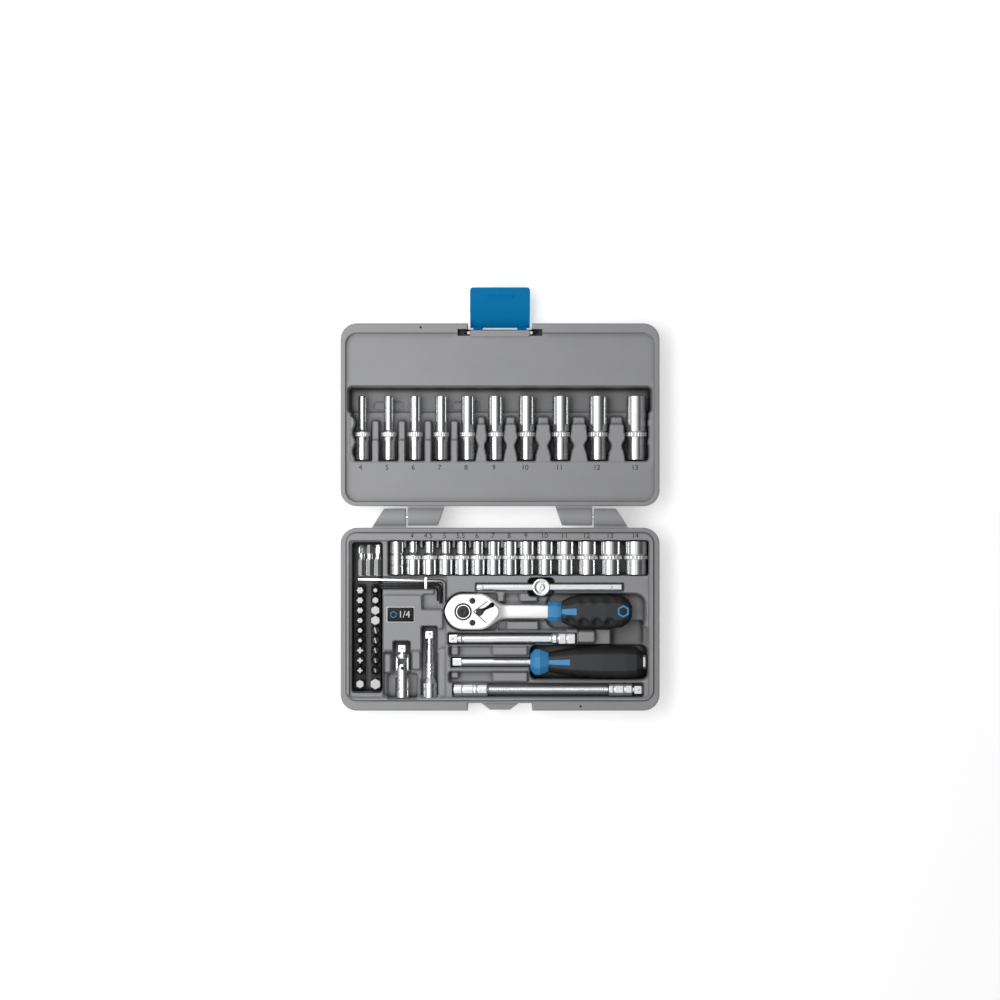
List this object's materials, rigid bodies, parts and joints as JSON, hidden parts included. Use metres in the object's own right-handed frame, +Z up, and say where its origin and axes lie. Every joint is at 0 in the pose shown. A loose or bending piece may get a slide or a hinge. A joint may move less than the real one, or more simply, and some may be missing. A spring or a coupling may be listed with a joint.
{
  "type": "socket wrench set in case",
  "caption": "Hinged case lying open: short and deep sockets, ratchet, spinner handle, T-bar, extensions, universal joint, bits and hex keys lie in fitted pockets.",
  "frame": {"origin": "centre of the case base's underside, where it rests", "axes": "+Y from the base to the open lid, +X along the hinge to the right seen from the base's front, +Z up"},
  "size_m": [0.25, 0.3317, 0.0338],
  "materials": {
    "case_plastic": "satin moulded",
    "latch_blue": "satin moulded",
    "trim_blue": "satin moulded",
    "grip_rubber": "soft matte",
    "chrome_steel": "bright plated",
    "black_steel": "black oxide",
    "pin_steel": "drawn",
    "badge_film": "printed film"
  },
  "bodies": {
    "base": {"case_base": "case_plastic", "hinge_pin_left": "pin_steel", "hinge_pin_right": "pin_steel", "badge": "badge_film"},
    "lid": {"case_lid": "case_plastic"},
    "latch": {"latch": "latch_blue"},
    "deep_socket_4": {"deep_socket_4": "chrome_steel"},
    "deep_socket_5": {"deep_socket_5": "chrome_steel"},
    "deep_socket_6": {"deep_socket_6": "chrome_steel"},
    "deep_socket_7": {"deep_socket_7": "chrome_steel"},
    "deep_socket_8": {"deep_socket_8": "chrome_steel"},
    "deep_socket_9": {"deep_socket_9": "chrome_steel"},
    "deep_socket_10": {"deep_socket_10": "chrome_steel"},
    "deep_socket_11": {"deep_socket_11": "chrome_steel"},
    "deep_socket_12": {"deep_socket_12": "chrome_steel"},
    "deep_socket_13": {"deep_socket_13": "chrome_steel"},
    "socket_4": {"socket_4": "chrome_steel"},
    "socket_4_5": {"socket_4_5": "chrome_steel"},
    "socket_5": {"socket_5": "chrome_steel"},
    "socket_5_5": {"socket_5_5": "chrome_steel"},
    "socket_6": {"socket_6": "chrome_steel"},
    "socket_7": {"socket_7": "chrome_steel"},
    "socket_8": {"socket_8": "chrome_steel"},
    "socket_9": {"socket_9": "chrome_steel"},
    "socket_10": {"socket_10": "chrome_steel"},
    "socket_11": {"socket_11": "chrome_steel"},
    "socket_12": {"socket_12": "chrome_steel"},
    "socket_13": {"socket_13": "chrome_steel"},
    "socket_14": {"socket_14": "chrome_steel"},
    "bit_adapter": {"bit_adapter": "chrome_steel"},
    "long_bit_cross": {"long_bit_cross": "chrome_steel"},
    "long_bit_hex": {"long_bit_hex": "chrome_steel"},
    "long_bit_star": {"long_bit_star": "chrome_steel"},
    "hex_key_large": {"hex_key_large": "chrome_steel"},
    "hex_key_medium": {"hex_key_medium": "black_steel"},
    "hex_key_small": {"hex_key_small": "black_steel"},
    "bit_rail_left": {"bit_rail_left": "black_steel"},
    "bit_rail_right": {"bit_rail_right": "black_steel"},
    "tbar": {"tbar_bar": "chrome_steel"},
    "ratchet": {"ratchet_body": "chrome_steel", "ratchet_cover": "chrome_steel", "ratchet_collar": "trim_blue", "ratchet_grip": "grip_rubber"},
    "spinner": {"spinner_shaft": "chrome_steel", "spinner_collar": "trim_blue", "spinner_grip": "grip_rubber", "spinner_end_socket": "chrome_steel"},
    "extension_100": {"extension_100": "chrome_steel"},
    "extension_50": {"extension_50": "chrome_steel"},
    "flex_extension": {"flex_female": "chrome_steel", "flex_shaft": "chrome_steel", "flex_male": "chrome_steel"},
    "universal_joint": {"uj_fork": "chrome_steel"},
    "tbar_slider": {"tbar_slider": "chrome_steel"},
    "ratchet_gear": {"ratchet_gear": "black_steel"},
    "ratchet_button": {"ratchet_button": "black_steel"},
    "ratchet_lever": {"ratchet_lever": "black_steel", "ratchet_pawl": "black_steel"},
    "uj_cross": {"uj_cross": "black_steel"},
    "uj_body": {"uj_body": "chrome_steel"}
  },
  "joints": [
    {"name": "lid_hinge", "type": "hinge", "parent": "base", "child": "lid", "pos_m": [0, 0.0801, 0.027], "axis": [1, 0, 0], "range_deg": [0, 180]},
    {"name": "latch_hinge", "type": "hinge", "parent": "lid", "child": "latch", "pos_m": [0, 0.2255, 0.018], "axis": [1, 0, 0], "range_deg": [-29, 61]},
    {"name": "deep_socket_4_lift", "type": "slide", "parent": "lid", "child": "deep_socket_4", "axis": [0, 0, -1], "range_m": [-0.035, 0]},
    {"name": "deep_socket_5_lift", "type": "slide", "parent": "lid", "child": "deep_socket_5", "axis": [0, 0, -1], "range_m": [-0.035, 0]},
    {"name": "deep_socket_6_lift", "type": "slide", "parent": "lid", "child": "deep_socket_6", "axis": [0, 0, -1], "range_m": [-0.035, 0]},
    {"name": "deep_socket_7_lift", "type": "slide", "parent": "lid", "child": "deep_socket_7", "axis": [0, 0, -1], "range_m": [-0.035, 0]},
    {"name": "deep_socket_8_lift", "type": "slide", "parent": "lid", "child": "deep_socket_8", "axis": [0, 0, -1], "range_m": [-0.035, 0]},
    {"name": "deep_socket_9_lift", "type": "slide", "parent": "lid", "child": "deep_socket_9", "axis": [0, 0, -1], "range_m": [-0.035, 0]},
    {"name": "deep_socket_10_lift", "type": "slide", "parent": "lid", "child": "deep_socket_10", "axis": [0, 0, -1], "range_m": [-0.035, 0]},
    {"name": "deep_socket_11_lift", "type": "slide", "parent": "lid", "child": "deep_socket_11", "axis": [0, 0, -1], "range_m": [-0.035, 0]},
    {"name": "deep_socket_12_lift", "type": "slide", "parent": "lid", "child": "deep_socket_12", "axis": [0, 0, -1], "range_m": [-0.035, 0]},
    {"name": "deep_socket_13_lift", "type": "slide", "parent": "lid", "child": "deep_socket_13", "axis": [0, 0, -1], "range_m": [-0.035, 0]},
    {"name": "socket_4_lift", "type": "slide", "parent": "base", "child": "socket_4", "axis": [0, 0, -1], "range_m": [-0.035, 0]},
    {"name": "socket_4_5_lift", "type": "slide", "parent": "base", "child": "socket_4_5", "axis": [0, 0, -1], "range_m": [-0.035, 0]},
    {"name": "socket_5_lift", "type": "slide", "parent": "base", "child": "socket_5", "axis": [0, 0, -1], "range_m": [-0.035, 0]},
    {"name": "socket_5_5_lift", "type": "slide", "parent": "base", "child": "socket_5_5", "axis": [0, 0, -1], "range_m": [-0.035, 0]},
    {"name": "socket_6_lift", "type": "slide", "parent": "base", "child": "socket_6", "axis": [0, 0, -1], "range_m": [-0.035, 0]},
    {"name": "socket_7_lift", "type": "slide", "parent": "base", "child": "socket_7", "axis": [0, 0, -1], "range_m": [-0.035, 0]},
    {"name": "socket_8_lift", "type": "slide", "parent": "base", "child": "socket_8", "axis": [0, 0, -1], "range_m": [-0.035, 0]},
    {"name": "socket_9_lift", "type": "slide", "parent": "base", "child": "socket_9", "axis": [0, 0, -1], "range_m": [-0.035, 0]},
    {"name": "socket_10_lift", "type": "slide", "parent": "base", "child": "socket_10", "axis": [0, 0, -1], "range_m": [-0.035, 0]},
    {"name": "socket_11_lift", "type": "slide", "parent": "base", "child": "socket_11", "axis": [0, 0, -1], "range_m": [-0.035, 0]},
    {"name": "socket_12_lift", "type": "slide", "parent": "base", "child": "socket_12", "axis": [0, 0, -1], "range_m": [-0.035, 0]},
    {"name": "socket_13_lift", "type": "slide", "parent": "base", "child": "socket_13", "axis": [0, 0, -1], "range_m": [-0.035, 0]},
    {"name": "socket_14_lift", "type": "slide", "parent": "base", "child": "socket_14", "axis": [0, 0, -1], "range_m": [-0.035, 0]},
    {"name": "bit_adapter_lift", "type": "slide", "parent": "base", "child": "bit_adapter", "axis": [0, 0, -1], "range_m": [-0.035, 0]},
    {"name": "long_bit_cross_lift", "type": "slide", "parent": "base", "child": "long_bit_cross", "axis": [0, 0, -1], "range_m": [-0.035, 0]},
    {"name": "long_bit_hex_lift", "type": "slide", "parent": "base", "child": "long_bit_hex", "axis": [0, 0, -1], "range_m": [-0.035, 0]},
    {"name": "long_bit_star_lift", "type": "slide", "parent": "base", "child": "long_bit_star", "axis": [0, 0, -1], "range_m": [-0.035, 0]},
    {"name": "hex_key_large_lift", "type": "slide", "parent": "base", "child": "hex_key_large", "axis": [0, 0, -1], "range_m": [-0.035, 0]},
    {"name": "hex_key_medium_lift", "type": "slide", "parent": "base", "child": "hex_key_medium", "axis": [0, 0, -1], "range_m": [-0.035, 0]},
    {"name": "hex_key_small_lift", "type": "slide", "parent": "base", "child": "hex_key_small", "axis": [0, 0, -1], "range_m": [-0.035, 0]},
    {"name": "bit_rail_left_lift", "type": "slide", "parent": "base", "child": "bit_rail_left", "axis": [0, 0, -1], "range_m": [-0.035, 0]},
    {"name": "bit_rail_right_lift", "type": "slide", "parent": "base", "child": "bit_rail_right", "axis": [0, 0, -1], "range_m": [-0.035, 0]},
    {"name": "tbar_lift", "type": "slide", "parent": "base", "child": "tbar", "axis": [0, 0, -1], "range_m": [-0.035, 0]},
    {"name": "ratchet_lift", "type": "slide", "parent": "base", "child": "ratchet", "axis": [0, 0, -1], "range_m": [-0.035, 0]},
    {"name": "spinner_lift", "type": "slide", "parent": "base", "child": "spinner", "axis": [0, 0, -1], "range_m": [-0.035, 0]},
    {"name": "extension_100_lift", "type": "slide", "parent": "base", "child": "extension_100", "axis": [0, 0, -1], "range_m": [-0.035, 0]},
    {"name": "extension_50_lift", "type": "slide", "parent": "base", "child": "extension_50", "axis": [0, 0, -1], "range_m": [-0.035, 0]},
    {"name": "flex_extension_lift", "type": "slide", "parent": "base", "child": "flex_extension", "axis": [0, 0, -1], "range_m": [-0.035, 0]},
    {"name": "universal_joint_lift", "type": "slide", "parent": "base", "child": "universal_joint", "axis": [0, 0, -1], "range_m": [-0.035, 0]},
    {"name": "tbar_slide", "type": "slide", "parent": "tbar", "child": "tbar_slider", "axis": [1, 0, 0], "range_m": [-0.003, 0.003]},
    {"name": "gear_spin", "type": "hinge", "parent": "ratchet", "child": "ratchet_gear", "pos_m": [-0.0289, 0.0059, 0.0205], "axis": [0, 0, 1], "continuous": true},
    {"name": "button_press", "type": "slide", "parent": "ratchet_gear", "child": "ratchet_button", "axis": [0, 0, -1], "range_m": [0, 0.001], "stiffness_N_per_m": 300},
    {"name": "lever_flip", "type": "hinge", "parent": "ratchet", "child": "ratchet_lever", "pos_m": [-0.0156, 0.0059, 0.0205], "axis": [0, 0, 1], "range_deg": [-61, 0]},
    {"name": "uj_bend", "type": "hinge", "parent": "universal_joint", "child": "uj_cross", "pos_m": [-0.0767, -0.0385, 0.019], "axis": [1, 0, 0], "range_deg": [-60, 0]},
    {"name": "uj_swing", "type": "hinge", "parent": "uj_cross", "child": "uj_body", "pos_m": [-0.0767, -0.0385, 0.019], "axis": [0, 0, 1], "range_deg": [-12, 12]}
  ]
}
